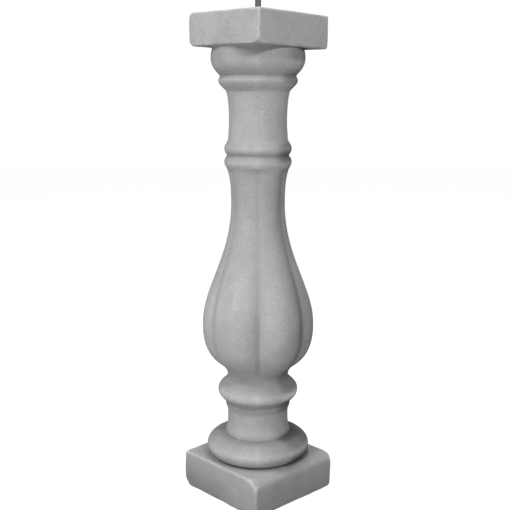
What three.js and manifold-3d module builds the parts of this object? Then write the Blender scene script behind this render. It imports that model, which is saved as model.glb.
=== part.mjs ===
// A cast-stone baluster: square plinth, turned mouldings, a vase with lobes, square cap,
// and the round steel bar that stands out of its head.
// Millimetres, +Z up. The origin is the middle of the plinth's underside, and the plinth's
// sides lie along X and Y.

import * as THREE from 'three';
import { mergeVertices } from 'three/addons/utils/BufferGeometryUtils.js';
import { RoundedBoxGeometry } from 'three/addons/geometries/RoundedBoxGeometry.js';
import Module from 'manifold-3d';

// Plinth: a square slab with worn edges
const plinthSide = 150;
const plinthHeight = 53;
const plinthArris = 6;

// One foot corner of the plinth, at -X and -Y, is worn away
const wornReach = 13;
const wornRise = 14;

// Base torus: the widest turned moulding, fuller above its crest than below
const torusRadius = 73.5;
const torusSeatRadius = 52;
const torusBelow = 13.5;
const torusAbove = 19.5;

// Drum: a short hollow-sided cylinder that spreads to a lip on the torus
const lipRadius = 47.1;
const lipHeight = 2.5;
const lipLean = 115;
const drumRadius = 43.3;
const drumHollow = 26.5;
const drumTopRadius = 45.4;
const drumRise = 10;
const drumLean = 45;

// Fillet: the plain band between drum and ring
const filletRadius = 46.6;
const filletHeight = 8;
const filletLean = 75;

// Ring: a rounded moulding with a sloping underside
const ringRadius = 57.1;
const ringBelow = 17;
const ringLean = 55;
const ringAbove = 16;
const ringTopRadius = 45.6;
const ringTuck = 130;

// Waist: the narrow hollow that carries the vase
const waistRadius = 43.4;
const waistBelow = 6;

// Vase: hollow underside, full belly, long neck
const undersideRadius = 54.2;
const undersideRise = 15;
const undersideLean = 30;
const bellyRadius = 78.7;
const bellyRise = 59;
const neckRadius = 37.4;
const neckRise = 171;
const throatRadius = 42.6;
const throatRise = 46.5;
const throatLean = 72;

// Handles that pull the vase's curves, along the outline at each end
const waistPull = 7;
const undersidePull = 5;
const bellyLowPull = 31;
const bellyUnderPull = 5;
const bellyOverPull = 51;
const neckPull = 75.5;

// Lobes of the vase, with a groove between each two
const lobeCount = 6;
const lobeTurn = -1.9;
const grooveShare = 0.125;
const neckGrooveShare = 0.05;
const grooveFootFade = 35;
const grooveTopFade = 125;
const grooveNeckLength = 100;

// Double bead between vase and upper drum
const beadRadius = 46.5;
const beadBelow = 11;
const beadLean = 60;
const beadAbove = 8;
const beadTuck = 125;
const beadGrooveRadius = 42.4;
const upperBeadBelow = 9.5;
const upperBeadLean = 52;
const beadShoulder = 14;

// Upper drum: slender and hollow-sided
const shaftFootRadius = 40.9;
const shaftRadius = 39.8;
const shaftBelow = 20;
const shaftTopRadius = 43.6;
const shaftAbove = 42.5;
const shaftLean = 72;

// Astragal: the bead under the echinus
const astragalRadius = 54.1;
const astragalBelow = 13.5;
const astragalLean = 45;
const astragalAbove = 6.5;
const astragalTuck = 100;
const quirkRadius = 51.7;

// Echinus: the cushion under the cap
const echinusRadius = 64;
const echinusBelow = 22.5;
const echinusAbove = 13;
const echinusTopRadius = 62;
const echinusLean = 45;
const echinusTuck = 105;

// Cap: a square slab with sharper edges than the plinth's
const capSide = 131;
const capHeight = 44;
const capArris = 3.5;

// The cap is cast a little turned against the plinth, in degrees
const capTurn = 2.5;

// Steel bar, standing in a blind bore in the head
const barDiameter = 8;
const barProjection = 50;
const barEmbedded = 120;
const barChamfer = 0.8;
const boreClearance = 0.3;

// How finely round things are faceted
const turnedSides = 60;
const barSides = 24;
const arrisSteps = 2;

// Levels of the mouldings, each standing on the one below
const torusCrest = plinthHeight + torusBelow;
const torusTop = torusCrest + torusAbove;
const lipTop = torusTop + lipHeight;
const drumNarrow = lipTop + drumHollow;
const drumTop = drumNarrow + drumRise;
const filletTop = drumTop + filletHeight;
const ringCrest = filletTop + ringBelow;
const ringTop = ringCrest + ringAbove;
const waist = ringTop + waistBelow;
const underside = waist + undersideRise;
const belly = underside + bellyRise;
const neck = belly + neckRise;
const throat = neck + throatRise;
const lowerBeadCrest = throat + beadBelow;
const beadGroove = lowerBeadCrest + beadAbove;
const upperBeadCrest = beadGroove + upperBeadBelow;
const shaftFoot = upperBeadCrest + beadShoulder;
const shaftNarrow = shaftFoot + shaftBelow;
const shaftTop = shaftNarrow + shaftAbove;
const astragalCrest = shaftTop + astragalBelow;
const quirk = astragalCrest + astragalAbove;
const echinusCrest = quirk + echinusBelow;
const echinusTop = echinusCrest + echinusAbove;
const height = echinusTop + capHeight;

const stone = new THREE.MeshStandardMaterial({
  name: 'cast stone',
  color: 0xa9a9a9,
  roughness: 0.9,
  metalness: 0,
});
const steel = new THREE.MeshStandardMaterial({
  name: 'mild steel',
  color: 0x5c5c5e,
  roughness: 0.55,
  metalness: 0.9,
});

// An outline drawn upwards as radius and height, in lines and curves of a few steps each.
class Outline {
  constructor(radius, level) {
    this.points = [new THREE.Vector2(radius, level)];
  }

  get end() {
    return this.points[this.points.length - 1];
  }

  follow(curve, steps) {
    this.points.push(...curve.getPoints(steps).slice(1));
    return this;
  }

  line(radius, level) {
    this.points.push(new THREE.Vector2(radius, level));
    return this;
  }

  // A quarter of an oval that leaves level and arrives upright, on the crest of a moulding
  toCrest(radius, level, steps) {
    const { x, y } = this.end;
    return this.follow(new THREE.EllipseCurve(x, level, radius - x, level - y, -Math.PI / 2, 0), steps);
  }

  // A quarter of an oval that leaves the crest upright and arrives level
  fromCrest(radius, level, steps) {
    const { x, y } = this.end;
    return this.follow(new THREE.EllipseCurve(radius, y, x - radius, level - y, 0, Math.PI / 2), steps);
  }

  // A free curve with one handle at each end, given as steps out from that end
  curve(leave, arrive, radius, level, steps) {
    const from = this.end;
    const to = new THREE.Vector2(radius, level);
    const first = from.clone().add(leave);
    const second = to.clone().sub(arrive);
    return this.follow(new THREE.CubicBezierCurve(from, first, second, to), steps);
  }
}

const upright = (length) => new THREE.Vector2(0, length);
const leaning = (length, degrees) => {
  const angle = THREE.MathUtils.degToRad(degrees);
  return new THREE.Vector2(length * Math.cos(angle), length * Math.sin(angle));
};

// Half of the turned shape, from the middle of the plinth up to the middle of the cap
function turnedOutline() {
  const outline = new Outline(0, plinthHeight / 2);
  outline.line(torusSeatRadius, plinthHeight / 2);
  outline.line(torusSeatRadius, plinthHeight);
  outline.toCrest(torusRadius, torusCrest, 4);
  outline.fromCrest(lipRadius, torusTop, 6);
  outline.line(lipRadius, lipTop);
  const lipFlare = leaning(drumHollow / 3, lipLean);
  outline.curve(lipFlare, upright(drumHollow / 2), drumRadius, drumNarrow, 3);
  outline.curve(upright(drumRise / 2), leaning(drumRise / 4, drumLean), drumTopRadius, drumTop, 2);
  const filletFoot = leaning(filletHeight / 3, filletLean);
  outline.curve(filletFoot, upright(filletHeight / 3), filletRadius, filletTop, 2);
  outline.curve(leaning(ringBelow / 2, ringLean), upright(ringBelow / 2), ringRadius, ringCrest, 4);
  outline.curve(upright(ringAbove / 2), leaning(ringAbove / 4, ringTuck), ringTopRadius, ringTop, 3);
  outline.curve(leaning(waistBelow / 2, ringTuck), upright(waistBelow / 2), waistRadius, waist, 2);
  vaseOutline(outline);
  headOutline(outline);
  return outline.points;
}

function vaseOutline(outline) {
  outline.curve(upright(waistPull), leaning(undersidePull, undersideLean), undersideRadius, underside, 3);
  outline.curve(leaning(bellyLowPull, undersideLean), upright(bellyUnderPull), bellyRadius, belly, 6);
  outline.curve(upright(bellyOverPull), upright(neckPull), neckRadius, neck, 10);
  outline.curve(upright(throatRise / 2), leaning(throatRise / 4, throatLean), throatRadius, throat, 3);
}

function headOutline(outline) {
  const lowerBeadFoot = leaning(beadBelow / 2, beadLean);
  outline.curve(lowerBeadFoot, upright(beadBelow / 3), beadRadius, lowerBeadCrest, 2);
  const lowerBeadHead = leaning(beadAbove / 3, beadTuck);
  outline.curve(upright(beadAbove / 2), lowerBeadHead, beadGrooveRadius, beadGroove, 2);
  const upperBeadFoot = leaning(upperBeadBelow / 3, upperBeadLean);
  outline.curve(upperBeadFoot, upright(upperBeadBelow / 2), beadRadius, upperBeadCrest, 2);
  outline.curve(upright(beadShoulder / 3), upright(beadShoulder / 3), shaftFootRadius, shaftFoot, 3);
  outline.curve(upright(shaftBelow / 3), upright(shaftBelow / 3), shaftRadius, shaftNarrow, 2);
  outline.curve(upright(shaftAbove / 2), leaning(shaftAbove / 5, shaftLean), shaftTopRadius, shaftTop, 3);
  const astragalFoot = leaning(astragalBelow / 2, astragalLean);
  outline.curve(astragalFoot, upright(astragalBelow / 3), astragalRadius, astragalCrest, 3);
  const astragalHead = leaning(astragalAbove / 3, astragalTuck);
  outline.curve(upright(astragalAbove / 2), astragalHead, quirkRadius, quirk, 2);
  const echinusFoot = leaning(echinusBelow / 4, echinusLean);
  outline.curve(echinusFoot, upright(echinusBelow / 2), echinusRadius, echinusCrest, 4);
  const echinusHead = leaning(echinusAbove / 3, echinusTuck);
  outline.curve(upright(echinusAbove / 2), echinusHead, echinusTopRadius, echinusTop, 1);
  outline.line(echinusTopRadius, echinusTop + capHeight / 2);
  outline.line(0, echinusTop + capHeight / 2);
}

// How deep the grooves are at a level, as a share of the vase's radius there
function grooveDepth(level) {
  const { smoothstep, lerp } = THREE.MathUtils;
  if (level <= waist || level >= throat) return 0;
  const low = grooveShare * smoothstep(level, waist, waist + grooveFootFade);
  const neckStart = throat - grooveNeckLength;
  const over = smoothstep(level, neckStart - grooveTopFade, neckStart);
  return lerp(low, neckGrooveShare, over);
}

// A lobe is an arc of a circle between two grooves. This is its radius at an angle from its
// crest, where the radius is 1.
function lobe(angle, depth) {
  const half = Math.PI / lobeCount;
  const groove = 1 - depth;
  const across = groove * Math.sin(half);
  const rise = 1 - groove * Math.cos(half);
  const arc = (across * across + rise * rise) / (2 * rise);
  const centre = 1 - arc;
  return centre * Math.cos(angle) + Math.sqrt(arc * arc - (centre * Math.sin(angle)) ** 2);
}

// A geometry as a manifold-3d solid, with its shared corners merged and its flat triangles dropped
const wasm = await Module();
wasm.setup();

function solidOf(geometry) {
  const bare = new THREE.BufferGeometry();
  bare.setAttribute('position', geometry.getAttribute('position'));
  bare.setIndex(geometry.getIndex());
  const merged = mergeVertices(bare, 1e-4);
  const corners = [];
  for (let i = 0; i < merged.index.count; i += 3) {
    const [a, b, c] = merged.index.array.slice(i, i + 3);
    if (a !== b && b !== c && c !== a) corners.push(a, b, c);
  }
  return new wasm.Manifold(new wasm.Mesh({
    numProp: 3,
    vertProperties: merged.attributes.position.array,
    triVerts: new Uint32Array(corners),
  }));
}

function geometryOf(solid) {
  const mesh = solid.getMesh();
  const geometry = new THREE.BufferGeometry();
  geometry.setAttribute('position', new THREE.BufferAttribute(new Float32Array(mesh.vertProperties), 3));
  geometry.setIndex(new THREE.BufferAttribute(new Uint32Array(mesh.triVerts), 1));
  geometry.computeVertexNormals();
  return geometry;
}

// The turned shaft. The lathe starts at a groove, so that grooves fall on its facets' edges.
function shaft() {
  const turn = THREE.MathUtils.degToRad(45 + lobeTurn);
  const geometry = new THREE.LatheGeometry(turnedOutline(), turnedSides, turn);
  const place = geometry.getAttribute('position');
  for (let i = 0; i < place.count; i++) {
    const depth = grooveDepth(place.getY(i));
    if (depth === 0) continue;
    const x = place.getX(i);
    const z = place.getZ(i);
    const spacing = 2 * Math.PI / lobeCount;
    const fromGroove = THREE.MathUtils.euclideanModulo(Math.atan2(x, z) - turn, spacing);
    const share = lobe(fromGroove - spacing / 2, depth);
    place.setX(i, x * share);
    place.setZ(i, z * share);
  }
  geometry.rotateX(Math.PI / 2);
  return solidOf(geometry);
}

function slab(side, thickness, arris, level, turn) {
  const geometry = new RoundedBoxGeometry(side, side, thickness, arrisSteps, arris);
  geometry.rotateZ(THREE.MathUtils.degToRad(turn));
  geometry.translate(0, 0, level + thickness / 2);
  return solidOf(geometry);
}

// What is worn off the plinth's foot corner: everything beyond a slanting plane across that corner
function wornCorner() {
  const corner = new THREE.Vector3(-plinthSide / 2, -plinthSide / 2, 0);
  const outward = new THREE.Vector3(-1 / wornReach, -1 / wornReach, -1 / wornRise);
  const inset = 1 / outward.length();
  outward.normalize();
  const size = 4 * (wornReach + wornRise);
  const geometry = new THREE.BoxGeometry(size, size, size);
  const turn = new THREE.Quaternion().setFromUnitVectors(new THREE.Vector3(0, 0, 1), outward);
  geometry.applyQuaternion(turn);
  const middle = corner.clone().addScaledVector(outward, size / 2 - inset);
  geometry.translate(middle.x, middle.y, middle.z);
  return solidOf(geometry);
}

// The bore is open at the cap's top, and its cutter reaches as high as the bar
function bore() {
  const length = boreClearance + barEmbedded + barProjection;
  const radius = barDiameter / 2 + boreClearance;
  const geometry = new THREE.CylinderGeometry(radius, radius, length, barSides);
  geometry.rotateX(Math.PI / 2);
  geometry.translate(0, 0, height + barProjection - length / 2);
  return solidOf(geometry);
}

function baluster() {
  const plinth = slab(plinthSide, plinthHeight, plinthArris, 0, 0).subtract(wornCorner());
  const cap = slab(capSide, capHeight, capArris, echinusTop, capTurn);
  const solid = shaft().add(plinth).add(cap).subtract(bore());
  const mesh = new THREE.Mesh(geometryOf(solid), stone);
  mesh.name = 'baluster';
  return mesh;
}

function dowelBar() {
  const radius = barDiameter / 2;
  const length = barEmbedded + barProjection;
  const profile = [
    new THREE.Vector2(0, 0),
    new THREE.Vector2(radius, 0),
    new THREE.Vector2(radius, length - barChamfer),
    new THREE.Vector2(radius - barChamfer, length),
    new THREE.Vector2(0, length),
  ];
  const geometry = new THREE.LatheGeometry(profile, barSides);
  geometry.rotateX(Math.PI / 2);
  const mesh = new THREE.Mesh(geometryOf(solidOf(geometry)), steel);
  mesh.name = 'dowel_bar';
  mesh.position.z = height - barEmbedded;
  return mesh;
}

const group = new THREE.Group();
group.name = 'stone baluster';
group.add(baluster(), dowelBar());

export default group;
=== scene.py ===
"""Looks of a cast-stone baluster with a lobed vase and a steel bar in its head.

The stone is one cast piece: a turned shaft with lobes, a plinth and a cap, made by a tree of
geometry nodes. The bar is turned from its outline. Sizes are in metres.
"""

import math

import bmesh
import bpy
from mathutils import Matrix, Vector


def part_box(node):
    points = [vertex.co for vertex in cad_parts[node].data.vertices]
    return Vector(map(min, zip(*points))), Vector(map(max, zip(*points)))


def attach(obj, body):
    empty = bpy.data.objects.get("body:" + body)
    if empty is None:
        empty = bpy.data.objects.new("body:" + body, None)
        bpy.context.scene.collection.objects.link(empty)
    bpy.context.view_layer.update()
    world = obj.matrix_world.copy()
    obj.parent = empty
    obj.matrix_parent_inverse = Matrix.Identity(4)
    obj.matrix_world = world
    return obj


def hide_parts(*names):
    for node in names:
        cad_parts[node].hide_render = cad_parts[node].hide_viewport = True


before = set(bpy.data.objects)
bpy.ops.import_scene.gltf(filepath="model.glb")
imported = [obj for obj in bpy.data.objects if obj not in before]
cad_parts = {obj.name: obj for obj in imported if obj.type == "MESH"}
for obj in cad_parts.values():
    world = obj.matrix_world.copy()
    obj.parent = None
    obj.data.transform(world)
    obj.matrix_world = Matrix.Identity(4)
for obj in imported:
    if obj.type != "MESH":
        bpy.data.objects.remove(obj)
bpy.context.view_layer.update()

bl_info = {
    "name": "Cast Baluster",
    "version": (1, 0, 0),
    "blender": (4, 5, 0),
    "location": "3D View > Sidebar > Baluster",
    "description": "Makes a cast-stone baluster, the steel bar in its head, and a stage to show them on",
    "category": "Add Mesh",
}

MM = 0.001
SEAM = 0.01 * MM
SEED_SHIFT = (1.0, 2.3, 3.7)
MID_NOISE = (0.3, 0.7)


def number(name, description, default, **more):
    return bpy.props.FloatProperty(name=name, description=description, default=default, **more)


def length(name, description, default_mm):
    """A length property, with its default given in millimetres."""
    return number(name, description, default_mm * MM, precision=5, subtype="DISTANCE", unit="LENGTH")


def angle(name, description, degrees):
    """An angle property, with its default given in degrees."""
    return number(name, description, math.radians(degrees), subtype="ANGLE", unit="ROTATION")


def share(name, description, default):
    """A plain number property, from nought to mostly one."""
    return number(name, description, default, min=0.0, soft_max=1.0, precision=4)


def grey(name, description, value):
    """A colour property whose default is a neutral grey."""
    return bpy.props.FloatVectorProperty(
        name=name,
        description=description,
        default=(value, value, value),
        min=0.0,
        max=1.0,
        size=3,
        subtype="COLOR",
    )


def power(name, description, watts):
    """A light's power."""
    return number(name, description, watts, subtype="POWER", unit="POWER")


# Settings that a user would change


class BALUSTER_PG_stone(bpy.types.PropertyGroup):
    """Sizes of the cast stone."""

    plinth_side: length("Plinth side", "Width of the square plinth", 151.8)
    plinth_height: length("Plinth height", "Thickness of the plinth", 53)
    plinth_arris: length("Plinth arris", "Mean rounding of the plinth's edges", 4.0)
    cap_side: length("Cap side", "Width of the square cap", 132.8)
    cap_height: length("Cap height", "Thickness of the cap", 44)
    cap_arris: length("Cap arris", "Mean rounding of the cap's edges", 2.8)
    cap_turn: angle("Cap turn", "Turn of the cap against the plinth", 1.7)
    cap_lean: angle("Cap lean", "How far the cap leans down to the right, as it was cast", 1.3)
    cap_aside: length("Cap aside", "How far the cap sits to the right of the axis", 0.6)
    cap_lift: length("Cap lift", "How far the cap sits above its even level", 0.8)
    softness: length("Softness", "How far worn corners of the turned outline are rounded", 2.0)
    lobes: bpy.props.IntProperty(name="Lobes", description="Lobes round the vase", default=6, min=3)
    lobe_turn: angle("Lobe turn", "Turn of the lobes away from the plinth's diagonal", -1.9)
    near_stray: angle("Near stray", "How far the groove over the plinth's near corner strays", 3.0)
    side_stray: angle("Side stray", "How far the groove to the right of it strays", 4.5)
    groove: share("Groove", "Depth of a groove as a share of the vase's radius", 0.135)
    neck_groove: share("Neck groove", "Depth of a groove on the neck as a share of its radius", 0.05)
    groove_rounding: angle("Groove rounding", "Half the angle of a groove's rounded bottom", 1.7)
    swell: length("Swell", "Depth of the casting's wide unevenness", 0.5)
    dent: length("Dent", "Depth of the casting's small unevenness", 0.16)


class BALUSTER_PG_bar(bpy.types.PropertyGroup):
    """Sizes of the steel bar."""

    diameter: length("Diameter", "Diameter of the bar", 8)
    projection: length("Projection", "Length that stands out of the cap", 50)
    embedded: length("Embedded", "Length inside the stone", 120)
    chamfer: length("Chamfer", "Ground edge at the bar's end", 0.8)
    clearance: length("Clearance", "Gap between bar and stone", 0.3)


class BALUSTER_PG_finish(bpy.types.PropertyGroup):
    """Colours of the finishes."""

    cement: grey("Cement", "Mean colour of the stone", 0.5)
    steel: grey("Steel", "Colour of the bar", 0.2)
    floor: grey("Floor", "Colour of the floor and the backdrop", 0.3)
    mottling: share("Mottling", "How much the stone's tone varies from place to place", 0.14)
    grain: share("Grain", "How much the stone's tone varies from grain to grain", 0.38)


class BALUSTER_PG_stage(bpy.types.PropertyGroup):
    """Light and camera."""

    key_power: power("Key light", "Power of the key light on the left", 6.8)
    top_power: power("Top light", "Power of the light overhead", 11.4)
    low_power: power("Low light", "Power of the low light near the floor", 3.3)
    side_power: power("Side light", "Power of the small light on the right", 3.8)
    surround: share("Surround", "Strength of the even light from all round", 0.2)
    focal_length: number("Focal length", "The lens's focal length", 58.72, subtype="DISTANCE_CAMERA")


# Node trees, drawn in reading order


def pick(sockets, name):
    """The socket of that name that is in use, or the one at that place."""
    if isinstance(name, int):
        return sockets[name]
    return next(s for s in sockets if s.name == name and s.enabled)


class Pen:
    """Adds nodes to a tree and joins them up."""

    def __init__(self, tree):
        self.tree = tree
        self.count = 0

    def add(self, kind, inputs=None, **settings):
        """A node of that kind, with its settings; an input is a value or another node's socket."""
        node = self.tree.nodes.new(kind)
        node.location = (180 * (self.count % 24), -260 * (self.count // 24))
        self.count += 1
        for name, value in settings.items():
            setattr(node, name, value)
        for name, value in (inputs or {}).items():
            self.feed(pick(node.inputs, name), value)
        return node

    def feed(self, socket, value):
        if isinstance(value, bpy.types.NodeSocket):
            self.tree.links.new(value, socket)
        elif value is not None:
            socket.default_value = value

    def math(self, operation, *values):
        node = self.add("ShaderNodeMath", dict(enumerate(values)), operation=operation)
        return node.outputs[0]

    def plus(self, first, second):
        return self.math("ADD", first, second)

    def minus(self, first, second):
        return self.math("SUBTRACT", first, second)

    def times(self, first, second):
        return self.math("MULTIPLY", first, second)

    def over(self, first, second):
        return self.math("DIVIDE", first, second)

    def scale_add(self, value, factor, addend):
        return self.math("MULTIPLY_ADD", value, factor, addend)

    def vector(self, operation, *values):
        node = self.add("ShaderNodeVectorMath", dict(enumerate(values)), operation=operation)
        return pick(node.outputs, "Value" if operation in ("DOT_PRODUCT", "LENGTH") else "Vector")

    def scaled(self, vector, factor):
        node = self.add("ShaderNodeVectorMath", {"Vector": vector, "Scale": factor}, operation="SCALE")
        return node.outputs["Vector"]

    def combined(self, x=0.0, y=0.0, z=0.0):
        return self.add("ShaderNodeCombineXYZ", {"X": x, "Y": y, "Z": z}).outputs[0]

    def separated(self, vector):
        return self.add("ShaderNodeSeparateXYZ", {"Vector": vector}).outputs

    def ramp(self, value, low, high, to_low=0.0, to_high=1.0):
        """A smooth step of the value from one level to another."""
        inputs = {"Value": value, "From Min": low, "From Max": high, "To Min": to_low, "To Max": to_high}
        node = self.add("ShaderNodeMapRange", inputs, interpolation_type="SMOOTHSTEP")
        return node.outputs["Result"]

    def noise(self, position, scale, detail=2.0, roughness=0.5, seed=0.0):
        """Noise at a position, with a seed that shifts it."""
        inputs = {
            "Vector": self.vector("ADD", position, [seed * shift for shift in SEED_SHIFT]),
            "Scale": scale,
            "Detail": detail,
            "Roughness": roughness,
        }
        return self.add("ShaderNodeTexNoise", inputs).outputs["Fac"]

    def read(self, what):
        """The place, the normal or the number of each point."""
        return self.add("GeometryNodeInput" + what).outputs[what]

    def moved(self, geometry, **places):
        """The geometry with its points at another Position, or moved by an Offset."""
        inputs = {"Geometry": geometry, **places}
        return self.add("GeometryNodeSetPosition", inputs).outputs[0]

    def sampled(self, geometry, kind, value, index):
        """A value at a numbered point of a geometry."""
        inputs = {"Geometry": geometry, "Value": value, "Index": index}
        node = self.add("GeometryNodeSampleIndex", inputs, data_type=kind, domain="POINT")
        return pick(node.outputs, "Value")

    def blurred(self, value, rounds):
        """A value evened out with its neighbours'."""
        inputs = {"Value": value, "Iterations": rounds}
        node = self.add("GeometryNodeBlurAttribute", inputs, data_type="FLOAT")
        return pick(node.outputs, "Value")

    def merged(self, geometry):
        """The geometry with its seam closed."""
        inputs = {"Geometry": geometry, "Distance": SEAM}
        return self.add("GeometryNodeMergeByDistance", inputs).outputs[0]


KINDS = {
    "geometry": "NodeSocketGeometry",
    "float": "NodeSocketFloat",
    "int": "NodeSocketInt",
    "vector": "NodeSocketVector",
    "material": "NodeSocketMaterial",
}


def floats(*labels):
    """Number inputs with those names."""
    return dict.fromkeys(labels, "float")


def new_tree(name, inputs):
    """A geometry node tree with named inputs: its pen, its inputs and its one output."""
    tree = bpy.data.node_groups.new(name, "GeometryNodeTree")
    for label, kind in inputs.items():
        tree.interface.new_socket(label, in_out="INPUT", socket_type=KINDS[kind])
    tree.interface.new_socket("Geometry", in_out="OUTPUT", socket_type=KINDS["geometry"])
    pen = Pen(tree)
    given = pen.add("NodeGroupInput").outputs
    result = tree.nodes.new("NodeGroupOutput")
    return pen, given, result.inputs["Geometry"]


def group(pen, tree, inputs):
    """A use of a node group in another tree."""
    node = pen.add("GeometryNodeGroup")
    node.node_tree = tree
    for name, value in inputs.items():
        pen.feed(node.inputs[name], value)
    return node.outputs["Geometry"]


def kept(pen, geometry, name, value):
    """The geometry with a value stored on its points."""
    inputs = {"Geometry": geometry, "Name": name, "Value": value}
    node = pen.add("GeometryNodeStoreNamedAttribute", inputs, data_type="FLOAT", domain="POINT")
    return node.outputs[0]


def lobe_share(pen, angle, depth, lobes):
    """A lobe's radius at an angle from its crest, where it is 1: a circle's arc between two grooves."""
    half = pen.over(math.pi, lobes)
    floor = pen.minus(1.0, depth)
    across = pen.times(floor, pen.math("SINE", half))
    rise = pen.minus(1.0, pen.times(floor, pen.math("COSINE", half)))
    chord = pen.plus(pen.times(across, across), pen.times(rise, rise))
    arc = pen.over(chord, pen.times(2.0, rise))
    centre = pen.minus(1.0, arc)
    aside = pen.times(centre, pen.math("SINE", angle))
    reach = pen.minus(pen.times(arc, arc), pen.times(aside, aside))
    along = pen.times(centre, pen.math("COSINE", angle))
    return pen.plus(along, pen.math("SQRT", reach))


# What the turned shaft is made from
TURNING = {
    **{"Outline": "geometry", "Columns per Lobe": "int", "Lobes": "int"},
    **floats("Lobe Turn", "Groove", "Neck Groove", "Groove Rounding", "Waist", "Foot Fade", "Neck Start"),
    **floats("Top Fade", "Throat", "First Stray", "First Place", "Second Stray", "Second Place"),
}

# How far the finish's marks reach from a groove's bottom, for its dirt and painted shade and for the
# painted shade on its flank, and the power of its depth that they fade with
GROOVE_MARK = 8 * MM
FLANK_MARK = 24 * MM
MARK_POWER = 0.8


def turning_tree():
    """Turns an outline, given as a line of points in X and Z, round Z, and presses lobes into the vase."""
    pen, given, result = new_tree("Turned Shaft", TURNING)
    crowding = 1.25
    sizes = pen.add("GeometryNodeAttributeDomainSize", {"Geometry": given["Outline"]}).outputs
    rings = sizes["Point Count"]
    columns = pen.times(given["Columns per Lobe"], given["Lobes"])
    sheet_inputs = {"Vertices X": pen.plus(columns, 1.0), "Vertices Y": rings}
    sheet = pen.add("GeometryNodeMeshGrid", sheet_inputs).outputs["Mesh"]
    index = pen.read("Index")
    ring = pen.math("FLOORED_MODULO", index, rings)
    column = pen.math("FLOOR", pen.over(pen.plus(index, 0.5), rings))
    drawn = pen.sampled(given["Outline"], "FLOAT_VECTOR", pen.read("Position"), ring)
    radius, _, level = pen.separated(drawn)

    # Columns stand closer together near a groove
    lobes = given["Lobes"]
    half = pen.over(math.pi, lobes)
    place = pen.over(column, given["Columns per Lobe"])
    number = pen.math("FLOOR", place)
    across = pen.scale_add(pen.math("FRACT", place), 2.0, -1.0)
    bent = pen.over(pen.math("SINE", pen.times(across, crowding)), math.sin(crowding))
    from_crest = pen.times(bent, half)
    crest = pen.times(pen.scale_add(number, 2.0, 1.0), half)
    regular = pen.plus(pen.plus(crest, from_crest), given["Lobe Turn"])

    # Two grooves stray from their even places, and draw the lobes beside them along
    angle = regular
    for which in ("First", "Second"):
        aside = pen.minus(regular, given[f"{which} Place"])
        aside = pen.math("WRAP", aside, math.pi, -math.pi)
        nearness = pen.math("COSINE", pen.times(aside, pen.times(lobes, 0.25)))
        within = pen.math("LESS_THAN", pen.math("ABSOLUTE", aside), pen.times(half, 2.0))
        pull = pen.times(pen.times(nearness, nearness), within)
        angle = pen.scale_add(pull, given[f"{which} Stray"], angle)

    # A groove fades out at the foot of the vase and grows shallow on the neck
    foot_end = pen.plus(given["Waist"], given["Foot Fade"])
    low = pen.times(given["Groove"], pen.ramp(level, given["Waist"], foot_end))
    neck_from = pen.minus(given["Neck Start"], given["Top Fade"])
    over = pen.ramp(level, neck_from, given["Neck Start"])
    mixed = pen.scale_add(pen.minus(given["Neck Groove"], low), over, low)
    depth = pen.times(mixed, pen.math("LESS_THAN", level, given["Throat"]))

    # The bottom of a groove is rounded, as wear and the mould leave it
    bottom = pen.minus(half, given["Groove Rounding"])
    from_crest_size = pen.math("ABSOLUTE", from_crest)
    blunt = pen.math("SMOOTH_MIN", from_crest_size, bottom, given["Groove Rounding"])
    out = pen.times(radius, lobe_share(pen, blunt, depth, lobes))
    x = pen.times(out, pen.math("COSINE", angle))
    y = pen.times(out, pen.math("SINE", angle))
    turned = pen.moved(sheet, Position=pen.combined(x, y, level))

    # How near a place is to a groove's bottom, kept for the finish's dirt and painted shade
    from_groove = pen.times(pen.minus(half, from_crest_size), out)
    strength = pen.math("POWER", pen.over(depth, given["Groove"]), MARK_POWER)
    mark = pen.times(pen.ramp(from_groove, 0.0, GROOVE_MARK, 1.0, 0.0), strength)
    flanks = pen.times(pen.ramp(from_groove, 0.0, FLANK_MARK, 1.0, 0.0), strength)
    flanks = pen.times(flanks, pen.math("GREATER_THAN", from_crest, 0.0))
    marked = kept(pen, turned, "grooved", mark)
    marked = kept(pen, marked, "flanks", flanks)
    # The outline's hollows and its bands of painted shade and staining are carried onto the turned mesh
    for name in ("hollow_fine", "hollow_wide", "stained"):
        drawn = pen.add("GeometryNodeInputNamedAttribute", {"Name": name}, data_type="FLOAT")
        value = pen.sampled(given["Outline"], "FLOAT", pick(drawn.outputs, "Attribute"), ring)
        marked = kept(pen, marked, name + "_turned", value)
    pen.feed(result, pen.merged(marked))
    return pen.tree


# Wear along a slab's edges: noise scale per metre, and the arris's least and largest share of its mean
WEAR_SCALE = 30.0
ARRIS_SPREAD = (0.65, 1.35)


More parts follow.
